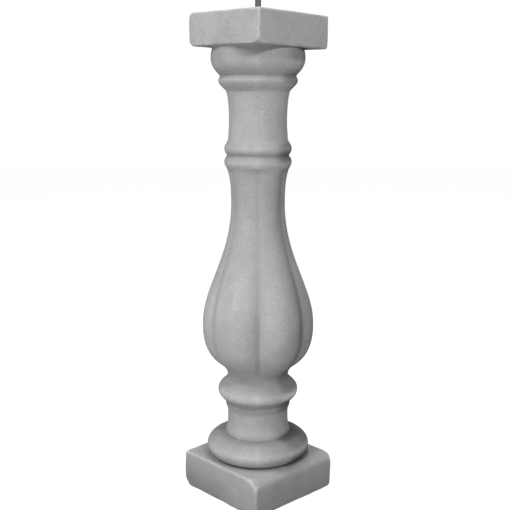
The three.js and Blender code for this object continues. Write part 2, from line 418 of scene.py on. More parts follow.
def slab_tree():
    """A square slab standing on its level, with rounded edges that vary in wear."""
    inputs = {"Cells Across": "int", "Cells Up": "int"}
    inputs |= floats("Side", "Thickness", "Level", "Arris", "Seed")
    pen, given, result = new_tree("Worn Slab", inputs)
    crowding = 1.2
    cube_inputs = {"Size": (2.0, 2.0, 2.0), "Vertices Z": given["Cells Up"]}
    cube_inputs |= dict.fromkeys(("Vertices X", "Vertices Y"), given["Cells Across"])
    cube = pen.add("GeometryNodeMeshCube", cube_inputs).outputs["Mesh"]
    position = pen.read("Position")
    bent = pen.scaled(pen.vector("SINE", pen.scaled(position, crowding)), 1 / math.sin(crowding))
    half = pen.scaled(pen.combined(given["Side"], given["Side"], given["Thickness"]), 0.5)
    spread = pen.vector("MULTIPLY", bent, half)
    shifted = pen.vector("ADD", spread, pen.combined(given["Seed"], given["Seed"], 0.0))
    wear = pen.add("ShaderNodeTexNoise", {"Vector": shifted, "Scale": WEAR_SCALE}).outputs["Fac"]
    arris = pen.times(given["Arris"], pen.ramp(wear, *MID_NOISE, *ARRIS_SPREAD))
    inner = pen.vector("SUBTRACT", half, pen.combined(arris, arris, arris))
    held = pen.vector("MAXIMUM", spread, pen.scaled(inner, -1.0))
    held = pen.vector("MINIMUM", held, inner)
    away = pen.vector("NORMALIZE", pen.vector("SUBTRACT", spread, held))
    rounded = pen.vector("ADD", held, pen.scaled(away, arris))
    lift = pen.scale_add(given["Thickness"], 0.5, given["Level"])
    placed = pen.vector("ADD", rounded, pen.combined(0.0, 0.0, lift))
    pen.feed(result, pen.merged(pen.moved(cube, Position=placed)))
    return pen.tree


def knock_tree():
    """Wears a corner or an edge off a slab: what stands beyond a slanting plane is pressed back to it."""
    inputs = dict.fromkeys(("Centre", "Half Size", "Side", "Reach"), "vector")
    inputs |= {"Geometry": "geometry", "Softness": "float"}
    pen, given, result = new_tree("Worn Corner", inputs)
    slope = pen.vector("DIVIDE", given["Side"], given["Reach"])
    position = pen.read("Position")
    corner = pen.vector("ADD", given["Centre"], pen.vector("MULTIPLY", given["Side"], given["Half Size"]))
    across = pen.vector("DOT_PRODUCT", slope, pen.vector("SUBTRACT", position, corner))
    size = pen.vector("LENGTH", slope)
    beyond = pen.over(pen.plus(across, 1.0), size)
    pressed = pen.math("SMOOTH_MAX", beyond, 0.0, given["Softness"])
    back = pen.scaled(pen.vector("NORMALIZE", slope), pen.times(pressed, -1.0))
    pen.feed(result, pen.moved(given["Geometry"], Offset=back))
    return pen.tree


# The casting's unevenness
SWELLS = {"scale": 22.0, "detail": 1.0, "seed": 4.0}
DENTS = {"scale": 110.0, "detail": 2.0, "seed": 9.0}


def uneven_tree():
    """Presses the shallow unevenness of a casting into a surface, inwards only."""
    inputs = {"Geometry": "geometry", **floats("Swell", "Dent")}
    pen, given, result = new_tree("Uneven Casting", inputs)
    position = pen.read("Position")
    normal = pen.read("Normal")
    wide = pen.noise(position, **SWELLS)
    small = pen.noise(position, **DENTS)
    swell = pen.times(wide, given["Swell"])
    depth = pen.plus(swell, pen.times(small, given["Dent"]))
    inwards = pen.scaled(normal, pen.times(depth, -1.0))
    pen.feed(result, pen.moved(given["Geometry"], Offset=inwards))
    return pen.tree


def even_directions(count):
    """Directions spread evenly over a sphere."""
    golden = math.pi * (3 - math.sqrt(5))
    out = []
    for i in range(count):
        up = 1 - 2 * (i + 0.5) / count
        flat = math.sqrt(1 - up * up)
        out.append((flat * math.cos(golden * i), flat * math.sin(golden * i), up))
    return out


# Shelter: how far a ray looks, how far off the surface it starts, how wide the rays spread, and how many
# there are and how often their result is evened out
SHELTER_REACH = 60 * MM
SHELTER_START = 0.3 * MM
SHELTER_SPREAD = 0.97
SHELTER_RAYS = 20
SHELTER_BLUR = 3


def sheltered(pen, geometry):
    """How closely a place is shut in by the stone round it, which sets where shade is painted on the side
    away from the key light.
    """
    position = pen.read("Position")
    normal = pen.read("Normal")
    start = pen.vector("ADD", position, pen.scaled(normal, SHELTER_START))
    total = 0.0
    for direction in even_directions(SHELTER_RAYS):
        aim = pen.vector("ADD", normal, pen.scaled(direction, SHELTER_SPREAD))
        ray = {"Target Geometry": geometry, "Source Position": start}
        ray["Ray Direction"] = pen.vector("NORMALIZE", aim)
        ray["Ray Length"] = SHELTER_REACH
        cast = pen.add("GeometryNodeRaycast", ray).outputs
        near = pen.minus(1.0, pen.over(cast["Hit Distance"], SHELTER_REACH))
        total = pen.scale_add(near, cast["Is Hit"], total)
    return pen.blurred(pen.over(total, SHELTER_RAYS), SHELTER_BLUR)


# Worn places: the side that a corner or an edge lies on, and in millimetres how far the wear reaches along
# each axis and how soft it is
PLINTH_WEAR = (
    ((-1, -1, -1), (11, 11, 12), 5.0),
    ((1, -1, 1), (14, 12, 9), 5.0),
    ((1, 0, 1), (10, 10, 9), 8.0),
    ((1, 1, -1), (6, 6, 6), 3.0),
    ((-1, 1, -1), (9, 8, 9), 4.0),
    ((-1, -1, 1), (7, 7, 5), 4.0),
)
CAP_WEAR = (
    ((-1, -1, -1), (8, 8, 7), 4.0),
    ((1, -1, -1), (10, 10, 7), 5.0),
    ((-1, -1, 1), (6, 6, 6), 4.0),
    ((-1, 1, -1), (6, 7, 6), 3.0),
)


def worn(pen, tree, shape, side, thickness, level, places):
    """A slab with its worn places pressed back."""
    middle = pen.combined(0.0, 0.0, pen.scale_add(thickness, 0.5, level))
    half = pen.scaled(pen.combined(side, side, thickness), 0.5)
    for direction, reach, softness in places:
        inputs = {"Geometry": shape, "Centre": middle, "Half Size": half, "Side": direction}
        inputs |= {"Reach": [r * MM for r in reach], "Softness": softness * MM}
        shape = group(pen, tree, inputs)
    return shape


BORE_SIDES = 32
CREASE = math.radians(38)

# How strongly an edge has to bend to be paled, as wear with a painted highlight, from a little to fully, in
# radians a metre
RUBBED_AND_HIGHLIT_BEND = (20.0, 100.0)
SHORTEST_SPAN = 1.0 * MM
BEND_BLUR = 2


def stone_tree():
    """The whole casting: shaft, plinth and cap joined in one solid, with the bar's bore."""
    inputs = {**TURNING, "Material": "material", "Cap Rotation": "vector", "Cap Place": "vector"}
    inputs |= floats("Plinth Side", "Plinth Height", "Plinth Arris", "Cap Side", "Cap Height", "Cap Arris")
    inputs |= floats("Cap Level", "Swell", "Dent", "Bore Radius", "Bore Depth")
    pen, given, result = new_tree("Cast Baluster", inputs)
    slab, knock, uneven = slab_tree(), knock_tree(), uneven_tree()
    shapes = [group(pen, turning_tree(), {name: given[name] for name in TURNING})]

    # The slabs: the level of each, the seed of its wear, its cells across and up, and its worn places
    slabs = (
        ("Plinth", 0.0, 3.0, (62, 26), PLINTH_WEAR),
        ("Cap", given["Cap Level"], 8.0, (56, 24), CAP_WEAR),
    )
    for which, level, seed, cells, places in slabs:
        side, thickness, arris = (given[f"{which} {size}"] for size in ("Side", "Height", "Arris"))
        slab_inputs = {"Side": side, "Thickness": thickness, "Level": level, "Arris": arris, "Seed": seed}
        slab_inputs |= {"Cells Across": cells[0], "Cells Up": cells[1]}
        block = group(pen, slab, slab_inputs)
        shapes.append(worn(pen, knock, block, side, thickness, level, places))
    cap_inputs = {"Rotation": given["Cap Rotation"], "Translation": given["Cap Place"]}
    cap_inputs["Geometry"] = shapes.pop()
    shapes.append(pen.add("GeometryNodeTransform", cap_inputs).outputs[0])
    union = pen.add("GeometryNodeMeshBoolean", operation="UNION", solver="MANIFOLD")
    for shape in shapes:
        cast = {"Geometry": shape, "Swell": given["Swell"], "Dent": given["Dent"]}
        pen.feed(union.inputs[1], group(pen, uneven, cast))
    depth = pen.times(given["Bore Depth"], 2.0)
    drill_inputs = {"Vertices": BORE_SIDES, "Radius": given["Bore Radius"], "Depth": depth}
    drill = pen.add("GeometryNodeMeshCylinder", drill_inputs).outputs["Mesh"]
    top = pen.combined(0.0, 0.0, pen.plus(given["Cap Level"], given["Cap Height"]))
    raised = pen.add("GeometryNodeTransform", {"Geometry": drill, "Translation": top})
    bored = pen.add("GeometryNodeMeshBoolean", operation="DIFFERENCE", solver="MANIFOLD")
    pen.feed(bored.inputs[0], union.outputs["Mesh"])
    pen.feed(bored.inputs[1], raised.outputs[0])

    # Creases stay sharp, and the rest is shaded smooth
    angles = pen.add("GeometryNodeInputMeshEdgeAngle")
    smooth_inputs = {"Geometry": bored.outputs["Mesh"], "Shade Smooth": True}
    smooth = pen.add("GeometryNodeSetShadeSmooth", smooth_inputs, domain="FACE")
    steep = pen.math("GREATER_THAN", angles.outputs["Unsigned Angle"], CREASE)
    crease_inputs = {"Geometry": smooth.outputs[0], "Selection": steep, "Shade Smooth": False}
    creased = pen.add("GeometryNodeSetShadeSmooth", crease_inputs, domain="EDGE").outputs[0]

    # How strongly the surface bends outwards, for paler rubbed edges with a painted highlight, and how much
    # it is shut in, for painted shade, both kept for the finish
    ends = pen.add("GeometryNodeInputMeshEdgeVertices").outputs
    span = pen.vector("LENGTH", pen.vector("SUBTRACT", ends["Position 1"], ends["Position 2"]))
    span = pen.math("MAXIMUM", span, SHORTEST_SPAN)
    bend = pen.over(angles.outputs["Signed Angle"], span)
    edges = pen.add("GeometryNodeFieldOnDomain", {"Value": bend}, data_type="FLOAT", domain="EDGE")
    bend = pen.blurred(pick(edges.outputs, "Value"), BEND_BLUR)
    marked = kept(pen, creased, "shut_in", sheltered(pen, creased))
    marked = kept(pen, marked, "rubbed", pen.ramp(bend, *RUBBED_AND_HIGHLIT_BEND))
    real = pen.add("GeometryNodeRealizeInstances", {"Geometry": marked})
    painted = {"Geometry": real.outputs[0], "Material": given["Material"]}
    pen.feed(result, pen.add("GeometryNodeSetMaterial", painted).outputs[0])
    return pen.tree


# The turned outline, as radius and level in millimetres


class Outline:
    """A line drawn upwards in fine steps."""

    def __init__(self, radius, level):
        self.points = [Vector((radius, level))]

    def line(self, radius, level):
        self.points.append(Vector((radius, level)))

    def oval(self, radius, level, rising):
        """A quarter of an oval, to a crest where it is upright, or from one."""
        steps = 12
        start = self.points[-1].copy()
        for i in range(1, steps + 1):
            turn = math.pi / 2 * i / steps
            shares = (math.sin(turn), 1 - math.cos(turn))
            outwards, upwards = shares if rising else reversed(shares)
            self.line(start.x + (radius - start.x) * outwards, start.y + (level - start.y) * upwards)

    def curve(self, leave, arrive, radius, level, steps=24):
        """A free curve with a handle at each end, each a length and a lean from level in degrees."""
        start = self.points[-1].copy()
        end = Vector((radius, level))
        first = start + handle(*leave)
        second = end - handle(*arrive)
        for i in range(1, steps + 1):
            t = i / steps
            s = 1 - t
            place = s**3 * start + 3 * s * s * t * first + 3 * s * t * t * second + t**3 * end
            self.points.append(place)


def handle(reach, lean=90.0):
    """A curve's handle."""
    angle = math.radians(lean)
    return Vector((math.cos(angle), math.sin(angle))) * reach


# Up to where the flat faces of plinth and cap count as part of the line, and the shaft's radii in them
FLAT_END = 95.0
IN_PLINTH = 56.0
IN_CAP = 62.0

# The torus and the lip over it: radius and level
TORUS_CREST = (73.5, 68.0)
TORUS_TOP = (47.1, 86.0)
LIP_TOP = (47.1, 88.5)

# The curves from there upwards: the level and radius where each ends, the handles with which it leaves and
# arrives, each a length and a lean from level in degrees, upright where none is given, and its steps where
# they aren't the usual ones
CURVES = {
    "drum_narrow": (115.0, 43.3, (9.0, 115), (13.5,)),
    "drum_top": (125.0, 45.4, (5.0,), (2.5, 45)),
    "fillet_top": (133.0, 46.6, (2.7, 75), (2.7,)),
    "ring_crest": (150.0, 57.1, (8.5, 55), (8.5,)),
    "ring_top": (166.0, 45.6, (8.0,), (4.0, 130)),
    "waist": (172.0, 43.4, (3.0, 130), (3.0,)),
    "underside": (187.0, 54.2, (7.0,), (5.0, 30)),
    "belly": (246.0, 78.7, (31.0, 30), (5.0,), 40),
    "neck": (417.0, 37.4, (51.0,), (75.5,), 90),
    "throat": (463.5, 42.6, (23.2,), (11.6, 72)),
    "lower_bead": (473.8, 46.5, (5.5, 60), (3.7,)),
    "bead_groove": (482.5, 42.4, (4.0,), (2.7, 125)),
    "upper_bead": (492.0, 46.5, (3.2, 52), (4.7,)),
    "shaft_foot": (506.0, 40.9, (4.7,), (4.7,)),
    "shaft_narrow": (526.0, 39.8, (6.7,), (6.7,)),
    "shaft_top": (568.5, 43.6, (21.2,), (8.5, 72)),
    "astragal": (582.0, 54.1, (6.7, 45), (4.5,)),
    "quirk": (588.5, 51.7, (3.2,), (2.2, 100)),
    "echinus": (611.0, 64.0, (5.6, 45), (11.2,)),
    "cap": (624.0, 62.0, (6.5,), (4.3, 105)),
}
WAIST = CURVES["waist"][0]
THROAT = CURVES["throat"][0]
CAP_LEVEL = CURVES["cap"][0]


def turned_outline(plinth_height, cap_height):
    """The shaft's outline, from the middle of the plinth to the middle of the cap."""
    line = Outline(0.0, plinth_height / 2)
    line.line(IN_PLINTH, plinth_height / 2)
    line.line(IN_PLINTH, plinth_height)
    line.oval(*TORUS_CREST, True)
    line.oval(*TORUS_TOP, False)
    line.line(*LIP_TOP)
    for level, radius, leave, arrive, *steps in CURVES.values():
        line.curve(leave, arrive, radius, level, *steps)
    line.line(IN_CAP, CAP_LEVEL + cap_height / 2)
    line.line(0.0, CAP_LEVEL + cap_height / 2)
    return line.points


def stepped(points, step):
    """The same line in even steps."""
    out = [points[0]]
    for start, end in zip(points, points[1:]):
        count = max(1, round((end - start).length / step))
        out += [start.lerp(end, (i + 1) / count) for i in range(count)]
    return out


def softened(points, reach, step):
    """The line with its corners rounded, by a running mean; the inner ends stay."""
    count = max(1, round(reach / step))
    out = list(points)
    for _ in range(2):
        mean = list(out)
        for i in range(count, len(out) - count):
            near = out[i - count : i + count + 1]
            mean[i] = sum(near, Vector((0.0, 0.0))) / len(near)
        out = mean
    return out


def thinned(points, bend, longest):
    """Which points to keep: one wherever the line has turned enough or run on long enough."""
    out = [0]
    turned = 0.0
    for i in range(1, len(points) - 1):
        before, here, after = points[i - 1 : i + 2]
        turned += abs((here - before).angle_signed(after - here, 0.0))
        if turned >= bend or (here - points[out[-1]]).length >= longest:
            out.append(i)
            turned = 0.0
    out.append(len(points) - 1)
    return out


def hollowness(points, reach, step):
    """How deep each point lies below the mean of the line round it, and less than nought on a crest."""
    mean = softened(points, reach, step)
    out = [0.0]
    for i in range(1, len(points) - 1):
        along = (points[i + 1] - points[i - 1]).normalized()
        outwards = Vector((along.y, -along.x))
        out.append((mean[i] - points[i]).dot(outwards))
    out.append(0.0)
    return out


# Finishes


def new_material(name):
    material = bpy.data.materials.new(name)
    material.use_nodes = True
    pen = Pen(material.node_tree)
    shader = material.node_tree.nodes["Principled BSDF"]
    position = pen.add("ShaderNodeTexCoord").outputs["Object"]
    return material, pen, shader, position


def left_on(pen, name):
    """A value that the geometry nodes left on the mesh."""
    return pen.add("ShaderNodeAttribute", attribute_name=name).outputs["Fac"]


def varied(pen, value, low, spread):
    """A factor round 1 that follows a noise."""
    return pen.ramp(value, low, 1 - low, 1 - spread, 1 + spread)


def window(pen, value, start, full, end, gone):
    """A smooth rise of the value to one and a smooth fall back to nought."""
    rise = pen.ramp(value, start, full)
    return pen.times(rise, pen.ramp(value, end, gone, 1.0, 0.0))


def roughened(pen, shader, relief, strength, depth):
    """Gives a shader fine relief of that depth."""
    bump = pen.add("ShaderNodeBump", {"Strength": strength, "Distance": depth, "Height": relief})
    pen.feed(shader.inputs["Normal"], bump.outputs["Normal"])


# The stone's noises, from the widest to the finest
CLOUDS = {"scale": 17.0, "detail": 3.0, "roughness": 0.55, "seed": 1.0}
PATCHES = {"scale": 55.0, "detail": 4.0, "roughness": 0.6, "seed": 5.0}
GRAINS = {"scale": 620.0, "detail": 3.0, "roughness": 0.65, "seed": 2.0}
PORES = {"scale": 1500.0, "detail": 2.0, "roughness": 0.5, "seed": 7.0}

# Air holes: cells per metre, the share of cells without one, the largest hole as a share of its cell, how
# dark and how deep
HOLE_CELLS = 95.0
HOLE_NONE = 0.9
HOLE_SIZE = 0.09
HOLE_DARK = 0.35
HOLE_DEEP = 1.5

# How rough the stone is, how strongly it shines, and the strength and depth of its fine relief
STONE_ROUGHNESS = (0.78, 0.95)
STONE_SHINE = 0.3
STONE_RELIEF = (0.35, 0.25 * MM)

# How much paler rubbed edges are, as wear with a painted highlight. Then dirt and painted shade, as the
# power
# of e that darkens the tone: in fine hollows, from the depth in millimetres where it starts to the most
# that counts; and wide crests get a painted highlight
RUBBED_AND_HIGHLIT_PALE = 0.2
FINE_START = 0.15
FINE_MOST = 0.45
FINE_DIRT_AND_SHADE = 0.5
WIDE_CREST_HIGHLIGHT = 0.07

# The side away from the key light, as a direction, where that shaded side starts and is full along it, and
# where the side towards the key light is full and ends
SHADED_SIDE_AIM = (0.69, 0.724)
SHADED_SIDE = (0.5, 0.8)
KEY_SIDE = (-0.8, -0.3)

# Painted shade on the side away from the key light: in shut-in pockets, and how much darker the bands of
# painted shade and staining grow there
POCKET_SHUT = (0.25, 0.5)
POCKET_SHADE = 0.75
SHADED_SIDE_BAND_GAIN = 3.0

# Dirt and painted shade in the grooves, how much of it the side towards the key light loses, and the
# painted shade on their flanks
GROOVE_DIRT_AND_SHADE = 0.3
GROOVE_KEY_SIDE_EASE = 0.8
FLANK_SIDE = (0.4, 0.7)
FLANK_SHADE = 0.42

# Darkening towards the foot: how far up it reaches, its strength, and how much more of it the side towards
# the key light has
FOOT_DARK_TOP = 48 * MM
FOOT_DARKENING = 0.22
FOOT_DARK_KEY_SIDE = 1.3

# Painted light on sides of the vase: where each patch starts, is full, ends and is gone, first across from
# the key light's side to the shaded side and then in millimetres up the stone, and its strength
PAINTED_LIGHT_PATCHES = (
    ((-1.2, -1.1, -0.8, -0.55), (188, 215, 270, 350), 0.16),
    ((0.08, 0.25, 0.44, 0.58), (218, 248, 300, 335), 0.11),
)


def cement_material(finish):
    """Smooth grey cast cement: clouds, grain, a few air holes, pale rubbed edges with a painted highlight,
    the dirt of years, and painted shade and light.
    """
    material, pen, shader, position = new_material("cast cement")
    grains = pen.noise(position, **GRAINS)
    cells = pen.add("ShaderNodeTexVoronoi", {"Vector": position, "Scale": HOLE_CELLS}, feature="F1")
    chance = pen.separated(cells.outputs["Color"])[0]
    size = pen.ramp(chance, HOLE_NONE, 1.0, 0.0, HOLE_SIZE)
    hole = pen.math("LESS_THAN", cells.outputs["Distance"], size)
    # Rubbed edges are paler: wear, with a painted highlight
    factor = pen.scale_add(left_on(pen, "rubbed"), RUBBED_AND_HIGHLIT_PALE, 1.0)
    clouds = pen.noise(position, **CLOUDS)
    patches = pen.noise(position, **PATCHES)
    noises = (
        (clouds, 0.25, finish.mottling / 2),
        (patches, 0.25, finish.mottling / 3),
        (grains, 0.2, finish.grain / 2),
    )
    for noise, low, spread in noises:
        factor = pen.times(factor, varied(pen, noise, low, spread))
    # Fine hollows are darker: dirt, with painted shade in the creases
    over = pen.minus(left_on(pen, "hollow_fine_turned"), FINE_START)
    over = pen.math("MINIMUM", pen.math("MAXIMUM", over, 0.0), FINE_MOST)
    dirt_and_painted_light = pen.times(over, -FINE_DIRT_AND_SHADE)
    # Wide crests are paler: a painted highlight
    wide = pen.math("MINIMUM", left_on(pen, "hollow_wide_turned"), 0.0)
    dirt_and_painted_light = pen.scale_add(wide, -WIDE_CREST_HIGHLIGHT, dirt_and_painted_light)

    # Painted shade on the side away from the key light, where the mouldings shut it in, and darkening
    # towards the foot
    x, y, z = pen.separated(position)
    flat = pen.math("SQRT", pen.scale_add(x, x, pen.times(y, y)))
    along = pen.scale_add(x, SHADED_SIDE_AIM[0], pen.times(y, SHADED_SIDE_AIM[1]))
    along = pen.over(along, flat)
    shaded_side = pen.ramp(along, *SHADED_SIDE)
    key_side = pen.ramp(along, *KEY_SIDE, 1.0, 0.0)
    # Painted shade in shut-in pockets on the side away from the key light
    shut = pen.ramp(left_on(pen, "shut_in"), *POCKET_SHUT, 0.0, POCKET_SHADE)
    shaded_pocket = pen.times(shaded_side, shut)
    # Bands of painted shade and staining, darker still on the side away from the key light
    stained = left_on(pen, "stained_turned")
    stained = pen.times(stained, pen.scale_add(shaded_side, SHADED_SIDE_BAND_GAIN, 1.0))
    # Grooves are darker with dirt and painted shade, less of it on the key light's side
    grooved = left_on(pen, "grooved")
    groove_dirt_and_shade = pen.times(pen.times(grooved, grooved), GROOVE_DIRT_AND_SHADE)
    groove_dirt_and_shade = pen.times(groove_dirt_and_shade, pen.scale_add(key_side, -GROOVE_KEY_SIDE_EASE, 1.0))
    # Painted shade on the groove flanks away from the key light
    shaded = pen.times(left_on(pen, "flanks"), pen.ramp(along, *FLANK_SIDE))
    groove_dirt_and_shade = pen.scale_add(shaded, FLANK_SHADE, groove_dirt_and_shade)
    # Painted light on the sides of the vase
    for across, up, strength in PAINTED_LIGHT_PATCHES:
        painted_light_patch = window(pen, along, *across)
        painted_light_patch = pen.times(painted_light_patch, window(pen, z, *(level * MM for level in up)))
        dirt_and_painted_light = pen.scale_add(painted_light_patch, strength, dirt_and_painted_light)
    # Darker towards the foot, more so on the key light's side
    foot_dark = pen.ramp(z, 0.0, FOOT_DARK_TOP, FOOT_DARKENING, 0.0)
    key_side_gain = pen.scale_add(key_side, FOOT_DARK_KEY_SIDE, 1.0)
    foot_dark = pen.times(foot_dark, key_side_gain)
    for layer in (stained, shaded_pocket, groove_dirt_and_shade, foot_dark):
        dirt_and_painted_light = pen.minus(dirt_and_painted_light, layer)
    factor = pen.times(factor, pen.math("EXPONENT", dirt_and_painted_light))
    factor = pen.times(factor, pen.scale_add(hole, -HOLE_DARK, 1.0))
    pen.feed(shader.inputs["Base Color"], pen.scaled(tuple(finish.cement), factor))
    pen.feed(shader.inputs["Roughness"], pen.ramp(grains, 0.2, 0.8, *STONE_ROUGHNESS))
    shader.inputs["Specular IOR Level"].default_value = STONE_SHINE
    pores = pen.noise(position, **PORES)
    relief = pen.plus(grains, pen.times(pores, 0.5))
    relief = pen.minus(relief, pen.times(hole, HOLE_DEEP))
    roughened(pen, shader, relief, *STONE_RELIEF)
    return material


# The bar's mill scale and the lines that drawing left along it, and how each changes the tone
MILL_SCALE = {"scale": 260.0, "detail": 4.0, "roughness": 0.6, "seed": 3.0}
DRAWN_LINES = {"scale": 1400.0, "detail": 2.0, "roughness": 0.5, "seed": 6.0}
LINE_STRETCH = (1.0, 1.0, 0.12)
SCALE_TONES = (0.8, 1.15)
LINE_TONES = (0.94, 1.06)
STEEL_ROUGHNESS = (0.42, 0.68)
STEEL_RELIEF = (0.25, 0.15 * MM)


def steel_material(finish):
    """Dull mild-steel bar with mill scale."""
    material, pen, shader, position = new_material("mild steel")
    scale = pen.noise(position, **MILL_SCALE)
    lines = pen.noise(pen.vector("MULTIPLY", position, LINE_STRETCH), **DRAWN_LINES)
    factor = pen.ramp(scale, *MID_NOISE, *SCALE_TONES)
    factor = pen.times(factor, pen.ramp(lines, *MID_NOISE, *LINE_TONES))
    pen.feed(shader.inputs["Base Color"], pen.scaled(tuple(finish.steel), factor))
    pen.feed(shader.inputs["Roughness"], pen.ramp(scale, *MID_NOISE, *STEEL_ROUGHNESS))
    shader.inputs["Metallic"].default_value = 0.85
    relief = pen.plus(scale, pen.times(lines, 0.4))
    roughened(pen, shader, relief, *STEEL_RELIEF)
    return material


def pale_material(finish, glow):
    """The pale sheet of the floor and the backdrop."""
    material, pen, shader, position = new_material("pale sheet")
    pen.tree.nodes.remove(position.node)
    shader.inputs["Base Color"].default_value = (*finish.floor, 1.0)
    shader.inputs["Roughness"].default_value = 0.9
    shader.inputs["Emission Color"].default_value = (1.0, 1.0, 1.0, 1.0)
    shader.inputs["Emission Strength"].default_value = glow
    return material


# Pieces


def link(obj):
    bpy.context.scene.collection.objects.link(obj)
    return obj


def mesh_piece(name, mesh, material):
    mesh.materials.append(material)
    return link(bpy.data.objects.new(name, mesh))


def set_inputs(modifier, values):
    """Gives a node modifier its inputs, by the identifiers of their sockets."""
    for item in modifier.node_group.interface.items_tree:
        if item.in_out == "INPUT" and item.name in values:
            modifier[item.identifier] = values[item.name]


def frozen(obj):
    """The object's modifiers worked into a plain mesh."""
    depsgraph = bpy.context.evaluated_depsgraph_get()
    depsgraph.update()
    mesh = bpy.data.meshes.new_from_object(obj.evaluated_get(depsgraph), depsgraph=depsgraph)
    obj.modifiers.clear()
    obj.data = mesh
    mesh.name = obj.name
    used = next(material for material in mesh.materials if material)
    mesh.materials.clear()
    mesh.materials.append(used)
    mesh.polygons.foreach_set("material_index", [0] * len(mesh.polygons))


# Bands of painted shade and staining round the turned part, among them the cap's painted shadow at the top:
# the levels in millimetres that each lies between, its strength, which is less than nought where a painted
# highlight pales the stone, and how softly it ends
SHADE_AND_STAIN_BANDS = (
    (53.0, 61.0, 0.25, 10.0),
    (79.0, 84.0, 0.16, 7.0),
    (86.5, 90.5, 0.14, 3.0),
    (127.0, 139.0, 0.18, 6.0),
    (147.0, 150.0, -0.12, 8.0),
    (158.0, 176.0, 0.11, 8.0),
    (425.0, 464.0, 0.02, 22.0),
    (478.0, 484.0, 0.20, 7.0),
    (490.0, 496.0, 0.13, 6.0),
    (580.0, 586.0, 0.13, 5.0),
    (587.0, 592.0, 0.05, 8.0),
    (611.0, 624.0, 0.13, 7.0),
)


def band_shade_and_stain(level):
    """The strength of the painted shade and staining at a level."""
    total = 0.0
    for low, high, strength, soft in SHADE_AND_STAIN_BANDS:
        gap = max(low - level, level - high, 0.0) / soft
        total += strength * max(0.0, 1 - gap * gap) ** 2
    return total


def hollowness_in_view(points, reach, step, low, high):
    """The hollowness between plinth and cap, with their flat faces counted as part of the line."""
    seen = [i for i, point in enumerate(points) if low <= point.y <= high]
    ledge = stepped([Vector((FLAT_END, low)), points[seen[0]]], step)[:-1]
    soffit = stepped([points[seen[-1]], Vector((FLAT_END, high))], step)[1:]
    depths = hollowness(ledge + [points[i] for i in seen] + soffit, reach, step)
    out = [0.0] * len(points)
    for place, i in enumerate(seen):
        out[i] = depths[len(ledge) + place]
    return out


# How finely the outline is drawn, in millimetres, and where it keeps a ring: after that much of a turn, or
# that far on
OUTLINE_STEP = 0.25
RING_BEND = math.radians(9.0)
RING_GAP = 3.4
COLUMNS_PER_LOBE = 30

# How wide a stretch of the outline tells a hollow, in millimetres
HOLLOWS = {"hollow_fine": 2.8, "hollow_wide": 6.0}

# Where the grooves change, in millimetres: they are full soon over the waist, lose depth up to the neck and
# stop just under the throat
GROOVE_PLACES = {
    "Waist": WAIST,
    "Foot Fade": 28.0,
    "Neck Start": THROAT - 100.0,
    "Top Fade": 125.0,
    "Throat": THROAT - 0.5,
}

# The lobes' even place: a groove over the plinth's near corner
NEAR_CORNER = -math.pi / 4


class BALUSTER_OT_cast_stone(bpy.types.Operator):
    """Cast the stone: plinth, turned shaft with its lobed vase, and cap, in one piece"""

    bl_idname = "baluster.cast_stone"
    bl_label = "Cast the Stone"

    def execute(self, context):
        stone = context.scene.baluster_stone
        bar = context.scene.baluster_bar
        heights = (stone.plinth_height / MM, stone.cap_height / MM)
        fine = stepped(turned_outline(*heights), OUTLINE_STEP)
        soft = softened(fine, stone.softness / MM / 2, OUTLINE_STEP)
        rings = thinned(soft, RING_BEND, RING_GAP)
        mesh = bpy.data.meshes.new("turned outline")
        edges = [(i, i + 1) for i in range(len(rings) - 1)]
        mesh.from_pydata([(soft[i].x * MM, 0.0, soft[i].y * MM) for i in rings], edges, [])
        # Bands of painted shade and staining, by level
        marks = {"stained": [band_shade_and_stain(point.y) for point in soft]}
        for name, reach in HOLLOWS.items():
            marks[name] = hollowness_in_view(soft, reach, OUTLINE_STEP, heights[0], CAP_LEVEL)
        for name, values in marks.items():
            mark = mesh.attributes.new(name, "FLOAT", "POINT")
            mark.data.foreach_set("value", [values[i] for i in rings])
        piece = link(bpy.data.objects.new("cast_baluster", mesh))
        modifier = piece.modifiers.new("Cast", "NODES")
        modifier.node_group = stone_tree()
        leaning = Matrix.Rotation(HEADING, 3, "Z") @ Matrix.Rotation(stone.cap_lean, 3, "Y")
        cap_turned = leaning @ Matrix.Rotation(stone.cap_turn - HEADING, 3, "Z")
        cap_middle = Vector((0.0, 0.0, CAP_LEVEL * MM + stone.cap_height / 2))
        cap_aside = seen_from_camera(stone.cap_aside, 0.0, stone.cap_lift)
        names = BALUSTER_PG_stone.__annotations__
        values = {name.replace("_", " ").title(): getattr(stone, name) for name in names}
        values |= {name: place * MM for name, place in GROOVE_PLACES.items()}
        values["Lobe Turn"] = stone.lobe_turn + NEAR_CORNER
        values |= {
            "Columns per Lobe": COLUMNS_PER_LOBE,
            "Material": cement_material(context.scene.baluster_finish),
            "Cap Level": CAP_LEVEL * MM,
            "Cap Rotation": tuple(cap_turned.to_euler()),
            "Cap Place": tuple(cap_middle - cap_turned @ cap_middle + cap_aside),
            "Bore Radius": bar.diameter / 2 + bar.clearance,
            "Bore Depth": bar.embedded + bar.clearance,
            "First Stray": stone.near_stray,
            "First Place": values["Lobe Turn"],
            "Second Stray": stone.side_stray,
            "Second Place": values["Lobe Turn"] + math.tau / stone.lobes,
        }
        set_inputs(modifier, values)
        frozen(piece)
        if len(piece.data.polygons) < len(rings):
            raise RuntimeError("the stone came out empty")
        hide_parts("baluster")
        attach(piece, "root")
        return {"FINISHED"}


# The bar's sides and rings, how its ground edge is eased, and how unevenly it is drawn: how deep, how often
# round it and how fast along it
BAR_SIDES = 48
BAR_RINGS = 34
GROUND_OUT = 0.3
GROUND_DOWN = 0.25
DRAWN_DEPTH = 0.03 * MM
DRAWN_ROUND = 3
DRAWN_ALONG = 40


